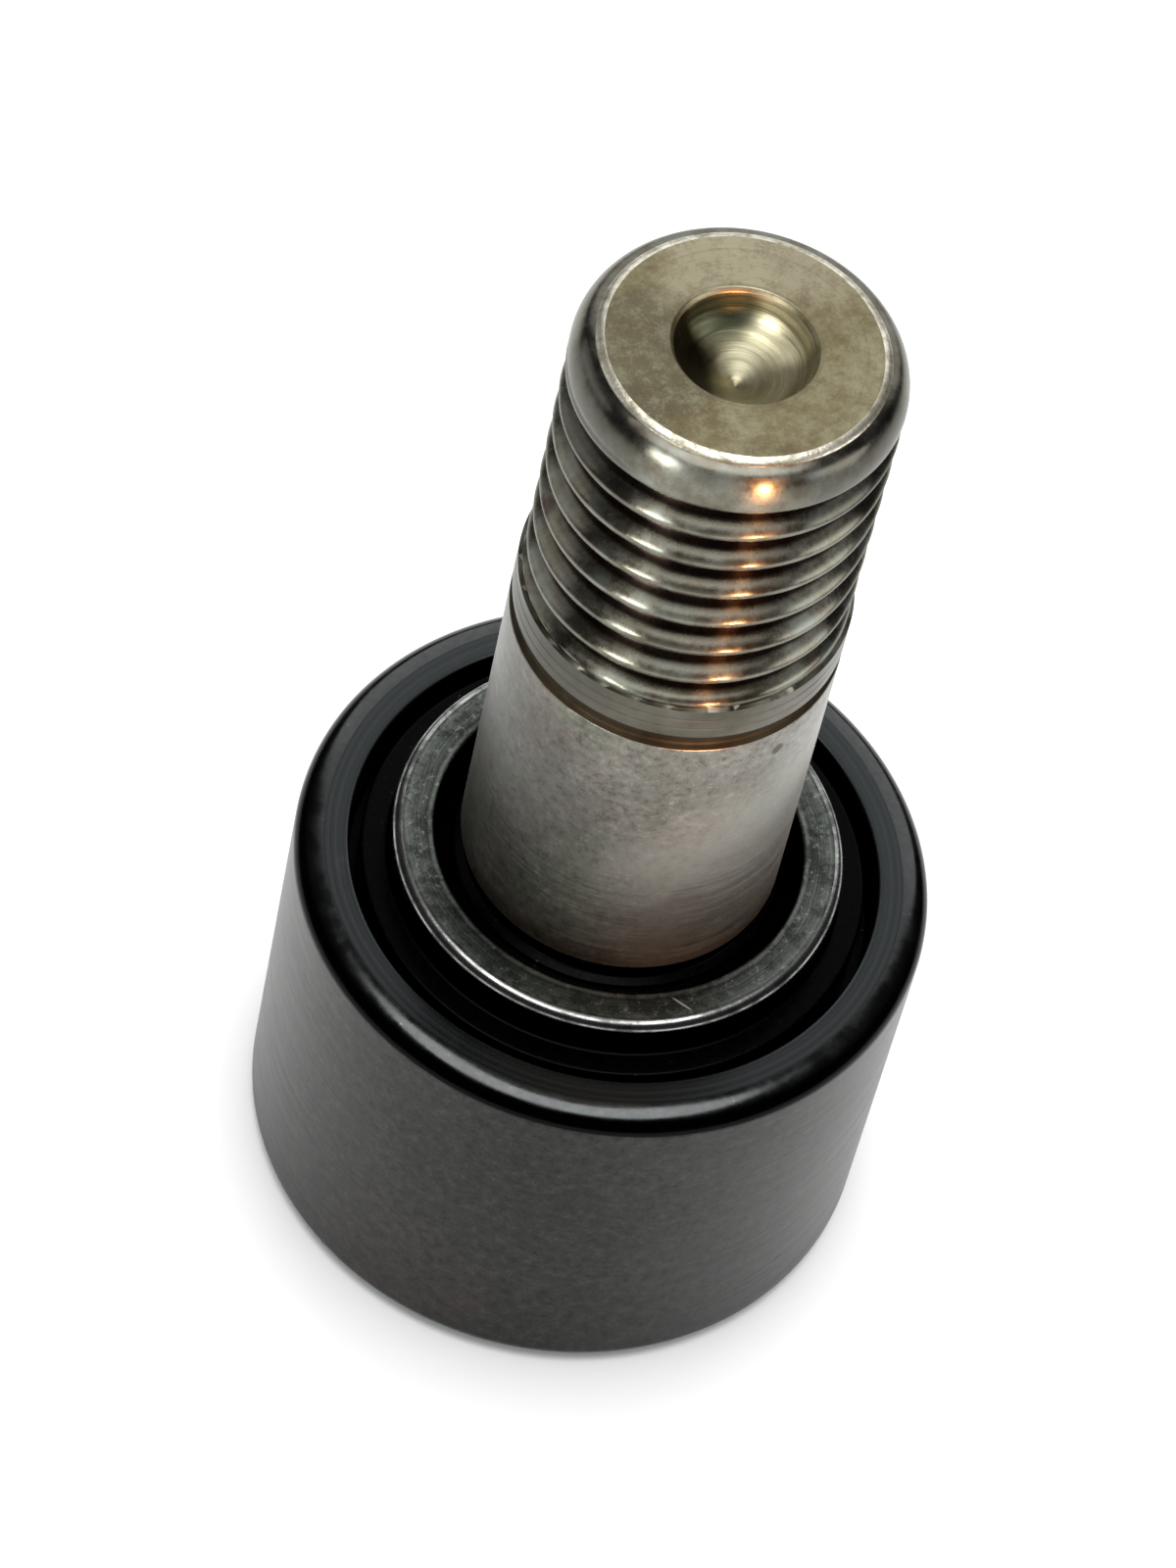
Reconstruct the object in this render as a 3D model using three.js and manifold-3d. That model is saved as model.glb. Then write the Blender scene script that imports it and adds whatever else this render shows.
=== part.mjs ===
// Heavy-stud cam follower: a roller that turns on needle rollers round a threaded stud.
// Millimetres, +Z up the stud. The origin is the centre of the stud head's flat face.
import * as THREE from "three";
import { mergeVertices } from "three/addons/utils/BufferGeometryUtils.js";
import Module from "manifold-3d";

// ---- Driving dimensions -------------------------------------------------------------------
const INCH = 25.4;
const ROLLER_DIAMETER = 0.625 * INCH;
const ROLLER_WIDTH = 0.435 * INCH;
const ASSEMBLY_WIDTH = (15 / 32) * INCH; // from the head's face to the end plate's face
const SHANK_DIAMETER = 0.3125 * INCH;
const STUD_REACH = 0.75 * INCH; // how far the stud stands out of the end plate
const THREAD_PITCH = INCH / 24;
const THREAD_DIAMETER = 0.304 * INCH;
const NEEDLE_DIAMETER = INCH / 16;
const NEEDLE_LENGTH = 7.5;
const NEEDLE_COUNT = 20;

// ---- Bearing ------------------------------------------------------------------------------
const NEEDLE_GAP = 0.024; // between neighbouring needles
const RACE_CLEARANCE = 0.016; // between a needle and either raceway
const needleRadius = NEEDLE_DIAMETER / 2;
const pitchRadius = (NEEDLE_DIAMETER + NEEDLE_GAP) / 2 / Math.sin(Math.PI / NEEDLE_COUNT);
const innerRaceRadius = pitchRadius - needleRadius - RACE_CLEARANCE;
const outerRaceRadius = pitchRadius + needleRadius + RACE_CLEARANCE;

// ---- Heights, from the head's face --------------------------------------------------------
const HEAD_PROUD = 0.05; // the head's face stands this far out of the roller
const HEAD_THICKNESS = 2.0;
const ROLLER_FLOAT = 0.15; // the roller's play along the stud, each way
const rollerBottom = HEAD_PROUD;
const rollerTop = rollerBottom + ROLLER_WIDTH;
const plateTop = ASSEMBLY_WIDTH;
const plateBottom = HEAD_THICKNESS + NEEDLE_LENGTH + 0.2;
const studTop = ASSEMBLY_WIDTH + STUD_REACH;

// ---- Radii shared by the head, the end plate and the roller's two recesses ------------------
const FLANGE_RADIUS = 6.3;
const RECESS_RADIUS = 6.6;
const PLATE_SEAT_RADIUS = 4.05;
const PLATE_FIT_GAP = 0.01;
const shankRadius = SHANK_DIAMETER / 2;

// ---- Facets -------------------------------------------------------------------------------
const STUD_FACETS = 40;
const ROLLER_FACETS = 64;
const PLATE_FACETS = 40;
const NEEDLE_FACETS = 12;

const wasm = await Module();
wasm.setup();

// ---- Helpers ------------------------------------------------------------------------------
/** A solid turned about Z. The profile is a list of [radius, height]. */
function turned(profile, facets) {
  const points = profile.map(([radius, height]) => new THREE.Vector2(radius, height));
  return new THREE.LatheGeometry(points, facets).rotateX(Math.PI / 2);
}

/** Points of a quarter ellipse round (radius, height), from one angle to another in degrees. */
function rounding(radius, height, across, along, from, to, steps) {
  return Array.from({ length: steps + 1 }, (_, i) => {
    const angle = THREE.MathUtils.degToRad(from + ((to - from) * i) / steps);
    return [radius + across * Math.cos(angle), height + along * Math.sin(angle)];
  });
}

/** The radius that keeps the flats of a faceted bore outside the true circle. */
function boreRadius(radius, facets) {
  return radius / Math.cos(Math.PI / facets);
}

function toManifold(geometry) {
  const bare = geometry.clone();
  bare.deleteAttribute("normal");
  bare.deleteAttribute("uv");
  const merged = mergeVertices(bare);
  return new wasm.Manifold(
    new wasm.Mesh({
      numProp: 3,
      vertProperties: merged.getAttribute("position").array,
      triVerts: new Uint32Array(merged.index.array),
    }),
  );
}

function toGeometry(manifold) {
  const { vertProperties, triVerts } = manifold.getMesh();
  return new THREE.BufferGeometry()
    .setAttribute("position", new THREE.BufferAttribute(vertProperties, 3))
    .setIndex(new THREE.BufferAttribute(triVerts, 1));
}

function steel(color, roughness) {
  return new THREE.MeshStandardMaterial({ color, roughness, metalness: 1 });
}

const groundSteel = steel(0x8f8c86, 0.42);
const blackOxide = steel(0x26262a, 0.38);
const polishedSteel = steel(0xb8b9bc, 0.15);

// ---- Stud ---------------------------------------------------------------------------------
const THREAD_ROWS = 4; // rows of points in one pitch
const RUNOUT_HEIGHT = 22.55; // the thread fades out just above this height
const RUNOUT_LENGTH = 0.45;
const TOP_FADE_START = studTop - 1.4; // the last groove fades out between these two heights
const TOP_FADE_END = studTop - 0.9;
const FIRST_ROOT = 23.06; // height of the lowest full root, on the seam of the lathe
const END_FACE_RADIUS = 3.4;
const CHAMFER_HEIGHT = 0.9;
const THREAD_DEPTH = 0.6134 * THREAD_PITCH;
const CREST_HALF_GAP = 0.4375 * THREAD_PITCH; // from the root's middle to the crest's edge
const ROOT_HALF_WIDTH = 0.083 * THREAD_PITCH;

/** The stud below the thread: oil hole, head, raceway, end plate seat, shank and relief groove. */
function lowerStudProfile() {
  const oilHoleRadius = INCH / 16;
  const oilHoleDepth = 6.2;
  const grooveRadius = 3.82;
  const grooveBottom = 21.06;
  const grooveTop = 21.56;
  return [
    [0, oilHoleDepth + 0.9],
    [oilHoleRadius, oilHoleDepth],
    [oilHoleRadius, 0.2],
    [oilHoleRadius + 0.2, 0],
    [FLANGE_RADIUS - 0.3, 0],
    [FLANGE_RADIUS, 0.3],
    [FLANGE_RADIUS, HEAD_THICKNESS - 0.1],
    [FLANGE_RADIUS - 0.1, HEAD_THICKNESS],
    [innerRaceRadius, HEAD_THICKNESS],
    [innerRaceRadius, plateBottom],
    [PLATE_SEAT_RADIUS, plateBottom],
    [PLATE_SEAT_RADIUS, plateTop - 0.55],
    [grooveRadius, plateTop - 0.45],
    [grooveRadius, plateTop + 0.02],
    [shankRadius, plateTop + 0.15],
    [shankRadius, grooveBottom],
    [grooveRadius, grooveBottom + 0.1],
    [grooveRadius, grooveTop - 0.1],
    [shankRadius, grooveTop],
    [shankRadius, RUNOUT_HEIGHT],
  ];
}

/** The stud above the thread: the end face and the drilled centre hole. */
function upperStudProfile() {
  const holeRadius = 1.6;
  const pilotRadius = 0.55;
  return [
    [END_FACE_RADIUS, studTop],
    [holeRadius + 0.09, studTop],
    [holeRadius, studTop - 0.1],
    [holeRadius - 0.15, studTop - 0.7],
    [pilotRadius, studTop - 1.2],
    [0, studTop - 1.45],
  ];
}

/** The rows of thread points on the lathe's seam, one pitch past each end of the thread. */
function threadRows() {
  const crest = THREAD_DIAMETER / 2;
  const root = crest - THREAD_DEPTH;
  const turns = Math.ceil((studTop - RUNOUT_HEIGHT) / THREAD_PITCH) + 3;
  return Array.from({ length: turns }, (_, turn) => {
    const middle = FIRST_ROOT + (turn - 2) * THREAD_PITCH;
    return [
      [crest, middle - CREST_HALF_GAP],
      [root, middle - ROOT_HALF_WIDTH],
      [root, middle + ROOT_HALF_WIDTH],
      [crest, middle + CREST_HALF_GAP],
    ];
  }).flat();
}

/** A thread point's true place: faded into the land below, and cut by the chamfer above. */
function onThread(radius, height) {
  if (height <= RUNOUT_HEIGHT) return [shankRadius, RUNOUT_HEIGHT];
  if (height >= studTop) return [END_FACE_RADIUS, studTop];
  const fade = Math.min(1, (height - RUNOUT_HEIGHT) / RUNOUT_LENGTH);
  const crest = THREAD_DIAMETER / 2;
  const topFade = THREE.MathUtils.smoothstep(height, TOP_FADE_START, TOP_FADE_END);
  const cut = radius + (crest - radius) * topFade;
  const faded = shankRadius + (cut - shankRadius) * fade;
  const below = Math.max(0, 1 - (studTop - height) / CHAMFER_HEIGHT);
  const chamfer = END_FACE_RADIUS + (crest - END_FACE_RADIUS) * Math.sqrt(1 - below * below);
  return [Math.min(faded, chamfer), height];
}

/** The stud as one lathe, whose thread rows climb one pitch in each turn. */
function studBlank() {
  const lower = lowerStudProfile();
  const rows = threadRows();
  const profile = [...lower, ...rows, ...upperStudProfile()];
  const geometry = turned(profile, STUD_FACETS);
  const position = geometry.getAttribute("position");
  const isThread = (row) => row >= lower.length && row < lower.length + rows.length;
  const index = (facet, row) => facet * profile.length + row;
  for (let facet = 0; facet <= STUD_FACETS; facet += 1) {
    const turn = facet / STUD_FACETS;
    for (let row = lower.length; row < lower.length + rows.length; row += 1) {
      // The last column lies on the first, one pitch further up.
      const onSeam = facet === STUD_FACETS && isThread(row + THREAD_ROWS);
      const [seamRadius, seamHeight] = profile[onSeam ? row + THREAD_ROWS : row];
      const climb = onSeam ? 0 : turn * THREAD_PITCH;
      const [radius, height] = onThread(seamRadius, seamHeight + climb);
      const angle = (turn % 1) * 2 * Math.PI;
      position.setXYZ(index(facet, row), radius * Math.sin(angle), -radius * Math.cos(angle), height);
    }
  }
  return geometry;
}

/** The stud: one forging with its head, raceway, shank and thread. */
function stud() {
  const slotWidth = 1.6;
  const slotDepth = 1.2;
  const crossHoleRadius = 0.75;
  const raceMiddle = (HEAD_THICKNESS + plateBottom) / 2;
  const slot = new THREE.BoxGeometry(3 * FLANGE_RADIUS, slotWidth, 2 * slotDepth);
  const crossHole = new THREE.CylinderGeometry(crossHoleRadius, crossHoleRadius, 2 * innerRaceRadius, 10)
    .rotateZ(Math.PI / 2)
    .translate(innerRaceRadius, 0, raceMiddle);
  const made = toManifold(studBlank()).subtract(toManifold(slot)).subtract(toManifold(crossHole));
  return toGeometry(made);
}

// ---- Outer ring ---------------------------------------------------------------------------
/** The roller: a thick ring with a raceway bore, and a recess at each end for the flanges. */
function outerRing() {
  const radius = ROLLER_DIAMETER / 2;
  const across = 0.7;
  const along = 0.5;
  const edge = 0.1;
  const raceBottom = HEAD_THICKNESS + ROLLER_FLOAT;
  const raceTop = plateBottom - ROLLER_FLOAT;
  const bore = boreRadius(outerRaceRadius, ROLLER_FACETS);
  const profile = [
    [RECESS_RADIUS + edge, rollerBottom],
    ...rounding(radius - across, rollerBottom + along, across, along, -90, 0, 4),
    ...rounding(radius - across, rollerTop - along, across, along, 0, 90, 4),
    [RECESS_RADIUS + edge, rollerTop],
    [RECESS_RADIUS, rollerTop - edge],
    [RECESS_RADIUS, raceTop],
    [bore, raceTop],
    [bore, raceBottom],
    [RECESS_RADIUS, raceBottom],
    [RECESS_RADIUS, rollerBottom + edge],
    [RECESS_RADIUS + edge, rollerBottom],
  ];
  return turned(profile, ROLLER_FACETS);
}

// ---- End plate ----------------------------------------------------------------------------
/** The washer pressed onto the stud. Its raised boss is the face that clamps to the machine. */
function endPlate() {
  const bore = boreRadius(PLATE_SEAT_RADIUS + PLATE_FIT_GAP, PLATE_FACETS);
  const flangeTop = rollerTop - 0.25;
  const bossRadius = 5.62;
  const bossRounding = 0.24;
  const countersink = 0.57;
  const profile = [
    [bore, plateBottom],
    [FLANGE_RADIUS - 0.1, plateBottom],
    [FLANGE_RADIUS, plateBottom + 0.1],
    [FLANGE_RADIUS, flangeTop - 0.1],
    [FLANGE_RADIUS - 0.1, flangeTop],
    [bossRadius, flangeTop],
    ...rounding(bossRadius - bossRounding, plateTop - bossRounding, bossRounding, bossRounding, 0, 90, 3),
    [bore + countersink, plateTop],
    [bore, plateTop - countersink],
    [bore, plateBottom],
  ];
  return turned(profile, PLATE_FACETS);
}

// ---- Needle rollers -----------------------------------------------------------------------
/** One needle roller, standing on its own axis. */
function needle() {
  const chamfer = 0.12;
  const profile = [
    [0, 0],
    [needleRadius - chamfer, 0],
    [needleRadius, chamfer],
    [needleRadius, NEEDLE_LENGTH - chamfer],
    [needleRadius - chamfer, NEEDLE_LENGTH],
    [0, NEEDLE_LENGTH],
  ];
  return turned(profile, NEEDLE_FACETS);
}

// ---- Assembly -----------------------------------------------------------------------------
const camFollower = new THREE.Group();

function place(name, geometry, material, x = 0, y = 0, z = 0) {
  const mesh = new THREE.Mesh(geometry, material);
  mesh.name = name;
  mesh.position.set(x, y, z);
  camFollower.add(mesh);
}

place("stud", stud(), groundSteel);
place("outer_ring", outerRing(), blackOxide);
place("end_plate", endPlate(), blackOxide);
for (let i = 0; i < NEEDLE_COUNT; i += 1) {
  const angle = ((i + 0.5) / NEEDLE_COUNT) * 2 * Math.PI;
  const name = `needle_roller_${String(i + 1).padStart(2, "0")}`;
  const x = pitchRadius * Math.cos(angle);
  const y = pitchRadius * Math.sin(angle);
  place(name, needle(), polishedSteel, x, y, HEAD_THICKNESS + 0.1);
}

export default camFollower;
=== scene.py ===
# %% [markdown]
# # A cam follower: a roller on a threaded stud
#
# A cam follower is a small, very strong wheel. A thick hardened ring rolls along a cam, and carries
# its load through a ring of needle rollers to a steel stud. The stud's shank sits in a machine's
# frame, and a nut on its thread pulls the end plate tight against that frame.
#
# Nearly every surface of it was made by turning or grinding, so nearly every surface here is made
# the same way: a profile is drawn, its corners are rounded, and it is spun round the axis. The frame
# gives the places and sizes of the parts, in metres. Profiles are drawn in millimetres, as on a
# turner's drawing, and each mesh is scaled once when it is finished.

# %% Load the fixed frame
import math

import bmesh
import bpy
from mathutils import Matrix, Vector


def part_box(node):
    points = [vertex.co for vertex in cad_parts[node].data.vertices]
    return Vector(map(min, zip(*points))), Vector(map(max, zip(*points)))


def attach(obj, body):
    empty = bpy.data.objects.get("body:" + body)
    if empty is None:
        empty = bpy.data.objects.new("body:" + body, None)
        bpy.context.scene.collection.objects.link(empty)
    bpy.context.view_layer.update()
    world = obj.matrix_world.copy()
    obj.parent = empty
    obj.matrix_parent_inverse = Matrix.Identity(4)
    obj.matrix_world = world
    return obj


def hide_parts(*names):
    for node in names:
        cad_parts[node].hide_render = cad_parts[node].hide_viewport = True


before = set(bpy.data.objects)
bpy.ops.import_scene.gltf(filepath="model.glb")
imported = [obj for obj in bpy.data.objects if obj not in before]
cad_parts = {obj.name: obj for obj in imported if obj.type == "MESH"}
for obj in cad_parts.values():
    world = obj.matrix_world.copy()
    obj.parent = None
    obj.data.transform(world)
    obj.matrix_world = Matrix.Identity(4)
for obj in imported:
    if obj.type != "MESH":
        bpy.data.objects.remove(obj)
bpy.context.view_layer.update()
MM = 0.001
TURN = 2 * math.pi

# %% [markdown]
# ## Sizes
#
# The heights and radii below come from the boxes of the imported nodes. Only the small things that a
# box can't tell are written out: the widths of edges, grooves and recesses, which are the same on
# every follower of this size.

# %% Sizes from the frame
def height_of(node):
    """The lowest and highest point of a node, in millimetres."""
    low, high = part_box(node)
    return low[2] / MM, high[2] / MM


def radius_of(node):
    """The radius of a turned node, in millimetres."""
    low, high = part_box(node)
    return (high[0] - low[0]) / 2 / MM


RING_BOTTOM, RING_TOP = height_of("outer_ring")
PLATE_BOTTOM, PLATE_TOP = height_of("end_plate")
STUD_TOP = height_of("stud")[1]
NEEDLE_BOTTOM, NEEDLE_TOP = height_of("needle_roller_01")
RING_RADIUS = radius_of("outer_ring")
FLANGE_RADIUS = radius_of("end_plate")
NEEDLE_RADIUS = radius_of("needle_roller_01")
needle_low, needle_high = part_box("needle_roller_01")
NEEDLE_PITCH_RADIUS = ((needle_low + needle_high) / 2).to_2d().length / MM
RACE_CLEARANCE = 0.016
INNER_RACE = NEEDLE_PITCH_RADIUS - NEEDLE_RADIUS - RACE_CLEARANCE
OUTER_RACE = NEEDLE_PITCH_RADIUS + NEEDLE_RADIUS + RACE_CLEARANCE
print("roller", round(2 * RING_RADIUS, 3), "mm across, stud top at", round(STUD_TOP, 3))

# %% [markdown]
# ## The camera
#
# The follower stands on its head and is looked down on, from close by, so that the top of the stud
# looks large and the roller narrows towards the floor. A camera close to a small thing gives that
# strong perspective. It is held a little askew, so the stud leans to the right.

# %% Camera
CAMERA_DISTANCE = 151.75 * MM
CAMERA_ELEVATION = math.radians(53.4)
CAMERA_BEARING = math.radians(-110.0)
CAMERA_TILT = math.radians(13.8)
CAMERA_LENS = 144
AIM = Vector((-1.215, -0.211, 14.55)) * MM

outward = Vector((
    math.cos(CAMERA_BEARING) * math.cos(CAMERA_ELEVATION),
    math.sin(CAMERA_BEARING) * math.cos(CAMERA_ELEVATION),
    math.sin(CAMERA_ELEVATION),
))
camera = bpy.data.objects.new("camera", bpy.data.cameras.new("camera"))
camera.data.lens = CAMERA_LENS
camera.data.clip_start = 0.01
camera.data.clip_end = 20
facing = (-outward).to_track_quat("-Z", "Y").to_matrix().to_4x4()
place = Matrix.Translation(AIM + outward * CAMERA_DISTANCE)
camera.matrix_world = place @ facing @ Matrix.Rotation(CAMERA_TILT, 4, "Z")
bpy.context.collection.objects.link(camera)
bpy.context.scene.camera = camera
print("camera", [round(x, 4) for x in camera.matrix_world.translation])

# %% [markdown]
# ## Turning on the lathe
#
# A turned piece is a profile and one full spin. The profile is a chain of corners. Real corners are
# never quite sharp, so each may name a small rounding, and a vertex bevel rounds it before the spin.
#
# Smooth shading blends the direction of neighbouring faces. On a wide flat next to a narrow rounding
# that blend would run across the whole flat and make it look dished. One extra ring close to each
# end of a long stretch keeps the flat flat.

# %% Profile and spin
HOLD = 0.04
WELD = 1e-3


def draw_profile(bm, corners, closed=False, segments=4):
    """Draws a chain of (radius, height) or (radius, height, rounding) corners in the XZ plane."""
    verts = [bm.verts.new((corner[0], 0, corner[1])) for corner in corners]
    for pair in zip(verts, verts[1:]):
        bm.edges.new(pair)
    if closed:
        bm.edges.new((verts[-1], verts[0]))
    for vert, corner in zip(verts, corners):
        if len(corner) > 2:
            bmesh.ops.bevel(
                bm, geom=[vert], offset=corner[2], offset_type="OFFSET", segments=segments,
                profile=0.5, affect="VERTICES", material=-1, clamp_overlap=False,
            )


def hold_flats(bm):
    """Adds a point near each end of every long stretch of the profile."""
    for edge in list(bm.edges):
        length = edge.calc_length()
        if length > 5 * HOLD:
            near, far = edge.verts
            held = bmesh.utils.edge_split(edge, near, HOLD / length)[1]
            rest = bm.edges.get((held, far))
            bmesh.utils.edge_split(rest, far, HOLD / (length - HOLD))


def spin(bm, steps, climb=0.0):
    """Spins the profile one full turn round Z. With a climb, the turn is a screw's."""
    bmesh.ops.spin(
        bm, geom=bm.verts[:] + bm.edges[:], cent=(0, 0, 0), axis=(0, 0, 1),
        dvec=(0, 0, climb / steps), angle=TURN, steps=steps,
        use_merge=climb == 0, use_duplicate=False,
    )


def close_up(bm):
    """Welds seams and poles, then turns every face outwards."""
    bmesh.ops.remove_doubles(bm, verts=bm.verts, dist=WELD)
    bmesh.ops.dissolve_degenerate(bm, edges=bm.edges, dist=WELD / 10)
    bmesh.ops.recalc_face_normals(bm, faces=bm.faces)


def arc(radius, height, across, along, start, end, count=8):
    """Points on a quarter round or oval whose centre is at (radius, height). Angles in degrees."""
    angles = [math.radians(start + (end - start) * i / count) for i in range(count + 1)]
    return [(radius + across * math.cos(a), height + along * math.sin(a)) for a in angles]


# %% [markdown]
# ## From profile to piece
#
# A finish often ends exactly at a turned edge: the ground shank stops at its groove, and the bright
# rim of a face is a ring of its own. So each piece has a rule that looks at where a face lies and
# names its finish. Edges sharper than a certain angle are marked, so that they stay crisp where a
# cutter, not a lathe, made them.

# %% Finished pieces
SHARP_EDGE = math.radians(35)


def paint(bm, finishes, rule):
    """Gives each face the finish that the rule names for its (radius, height)."""
    names = list(finishes)
    for face in bm.faces:
        centre = face.calc_center_median()
        face.material_index = names.index(rule(centre.to_2d().length, centre.z))


def finish_piece(bm, name, body, node, finishes):
    """Scales a mesh to metres and makes it a piece that rides on a body in place of a CAD node."""
    bmesh.ops.scale(bm, vec=(MM, MM, MM), verts=bm.verts)
    for face in bm.faces:
        face.smooth = True
    for edge in bm.edges:
        edge.smooth = edge.calc_face_angle(0) < SHARP_EDGE
    mesh = bpy.data.meshes.new(name)
    bm.to_mesh(mesh)
    bm.free()
    for finish in finishes.values():
        mesh.materials.append(finish)
    piece = bpy.data.objects.new(name, mesh)
    bpy.context.collection.objects.link(piece)
    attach(piece, body)
    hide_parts(node)
    return piece


# %% [markdown]
# ## Finishes as small recipes
#
# Each finish below is a metal with something on it: grinding lines, an oxide, a tarnish, wear. The
# recipes need the same few nodes again and again, so a small helper class adds and links them. Its
# coordinates are the object's own, turned into millimetres, so that a noise of scale 2 has lumps
# about half a millimetre across. A stretch of 0 along Z leaves only the distance from the axis, and
# a large stretch along Z squeezes the noise into rings, as a grinding wheel or a lathe tool leaves.
# A few finishes also have dull, pale or brown areas at set places. Most of the dull and pale ones
# are painted shade and painted light; the brown ones and a few small dark marks are stains and nicks.

# %% Recipe helper
class Finish:
    """A metal surface and the nodes that shape it."""

    def __init__(self, name, roughness=0.4, metallic=1.0):
        self.material = bpy.data.materials.new(name)
        self.material.use_nodes = True
        self.tree = self.material.node_tree
        self.shader = self.tree.nodes["Principled BSDF"]
        self.shader.inputs["Metallic"].default_value = metallic
        self.shader.inputs["Roughness"].default_value = roughness
        self.normal = None

    def add(self, kind, sockets=None, **settings):
        """Adds a node, sets it, and links or sets its inputs."""
        node = self.tree.nodes.new("ShaderNode" + kind)
        for key, value in settings.items():
            setattr(node, key, value)
        for key, value in (sockets or {}).items():
            if isinstance(value, bpy.types.NodeSocket):
                self.tree.links.new(value, node.inputs[key])
            else:
                node.inputs[key].default_value = value
        return node

    def where(self, stretch=(1, 1, 1), centre=(0, 0, 0)):
        """The place on the object in millimetres, from a centre, stretched along each axis."""
        coordinates = self.add("TexCoord").outputs["Object"]
        scale = [s / MM for s in stretch]
        shift = [-c * s for c, s in zip(centre, stretch)]
        sockets = {"Vector": coordinates, "Location": shift, "Scale": scale}
        return self.add("Mapping", sockets).outputs["Vector"]

    def noise(self, scale, detail=4.0, stretch=(1, 1, 1), roughness=0.55, centre=(0, 0, 0)):
        vector = self.where(stretch, centre)
        sockets = {"Vector": vector, "Scale": scale, "Detail": detail, "Roughness": roughness}
        return self.add("TexNoise", sockets).outputs["Fac"]

    def rings(self, scale, detail=3.0, wobble=0.02):
        """Fine lines that run round the axis: a noise of the distance from it."""
        radius = self.distance((1, 1, 0))
        height = self.noise(1.5, 1.0)
        shifted = self.math("MULTIPLY_ADD", height, wobble, radius)
        line = self.add("CombineXYZ", {"X": shifted}).outputs["Vector"]
        sockets = {"Vector": line, "Scale": scale, "Detail": detail, "Roughness": 0.7}
        return self.add("TexNoise", sockets).outputs["Fac"]

    def distance(self, stretch=(1, 1, 1), centre=(0, 0, 0)):
        """How far a point is from a centre, in stretched millimetres."""
        sockets = {0: self.where(stretch, centre)}
        return self.add("VectorMath", sockets, operation="LENGTH").outputs["Value"]

    def math(self, operation, *values):
        sockets = dict(enumerate(values))
        return self.add("Math", sockets, operation=operation).outputs["Value"]

    def fade(self, value, low, high, to_low=0.0, to_high=1.0):
        """Turns a range of values smoothly into another."""
        sockets = {
            "Value": value, "From Min": low, "From Max": high, "To Min": to_low, "To Max": to_high,
        }
        return self.add("MapRange", sockets, interpolation_type="SMOOTHSTEP").outputs["Result"]

    def ramp(self, value, *stops):
        """Turns a value into a colour through (place, colour) stops."""
        node = self.add("ValToRGB", {"Fac": value})
        elements = node.color_ramp.elements
        while len(elements) < len(stops):
            elements.new(0.5)
        for element, (place, colour) in zip(elements, stops):
            element.position = place
            element.color = (*colour, 1)
        return node.outputs["Color"]

    def mix(self, share, first, second):
        """Mixes two colours. Each is a colour or a link."""
        node = self.add("Mix", {"Factor": share}, data_type="RGBA")
        for index, colour in ((6, first), (7, second)):
            if isinstance(colour, bpy.types.NodeSocket):
                self.tree.links.new(colour, node.inputs[index])
            else:
                node.inputs[index].default_value = (*colour, 1)
        return node.outputs[2]

    def near(self, place, reach, ragged=0.35, scale=3.0):
        """1 at a place and 0 beyond its reach, with a ragged border."""
        lumps = self.math("SUBTRACT", self.noise(scale, 3.0), 0.5)
        away = self.math("MULTIPLY_ADD", lumps, ragged * reach, self.distance(centre=place))
        return self.fade(away, 0.55 * reach, reach, 1.0, 0.0)

    def scratch(self, start, end, width):
        """1 on a straight scratch between two places that lie at one height, and 0 off it."""
        start, end = Vector(start), Vector(end)
        along = end - start
        turned = self.add("Mapping", {
            "Vector": self.where(centre=(start + end) / 2),
            "Rotation": (0, 0, -math.atan2(along.y, along.x)),
        }).outputs["Vector"]
        away = self.add("VectorMath", {
            0: turned, 1: (width / along.length, 1, 1),
        }, operation="MULTIPLY").outputs["Vector"]
        away = self.add("VectorMath", {0: away}, operation="LENGTH").outputs["Value"]
        return self.fade(away, 0.3 * width, 0.5 * width, 1.0, 0.0)

    def tint(self, metal, colour, value, start, full, share=1.0):
        """Mixes in a colour: none of it where a value is at start, its share at full."""
        return self.mix(self.fade(value, start, full, 0.0, share), metal, colour)

    def stain(self, metal, colour, place, reach, share=1.0, ragged=0.35, scale=3.0):
        """Mixes a colour into the metal round a place."""
        spread = self.math("MULTIPLY", self.near(place, reach, ragged, scale), share)
        return self.mix(spread, metal, colour)

    def colour(self, socket):
        self.tree.links.new(socket, self.shader.inputs["Base Color"])

    def roughness(self, socket):
        self.tree.links.new(socket, self.shader.inputs["Roughness"])

    def brushed(self, amount):
        """Spreads highlights up and down, across the fine lines that run round the axis."""
        tangent = self.add("Tangent", direction_type="RADIAL", axis="Z").outputs["Tangent"]
        self.tree.links.new(tangent, self.shader.inputs["Tangent"])
        self.shader.inputs["Anisotropic"].default_value = amount
        self.shader.inputs["Anisotropic Rotation"].default_value = 0.25

    def relief(self, height, depth):
        """Adds bumps to the surface. Depth is in millimetres."""
        sockets = {"Height": height, "Distance": depth * MM, "Strength": 1.0}
        node = self.add("Bump", sockets)
        if self.normal is not None:
            self.tree.links.new(self.normal, node.inputs["Normal"])
        self.normal = node.outputs["Normal"]
        self.tree.links.new(self.normal, self.shader.inputs["Normal"])


def on_stud(bearing, height, radius):
    """A place on the stud, from its bearing in degrees, its height and its radius."""
    turn = math.radians(bearing)
    return (radius * math.cos(turn), radius * math.sin(turn), height)


# %% [markdown]
# ### Ground steel: the shank
#
# The shank is hardened, then ground to size. Grinding leaves very fine lines round it and a satin
# sheen. Handling leaves a faint mottling, warmer in some places and greener in others, one small dark
# spot, and a brown stain low on the front. Painted shade darkens its left side and its lower end at
# the front left, and a broad painted light brightens its right side.

# %% Shank finish
SHANK_RADIUS = 3.96875
# Painted shade on the shank: bearing, height, reach and share of each dark area.
SHANK_PAINTED_SHADES = ((-178, 17.5, 5.5, 0.55), (-130, 11.6, 2.8, 0.25))


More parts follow.
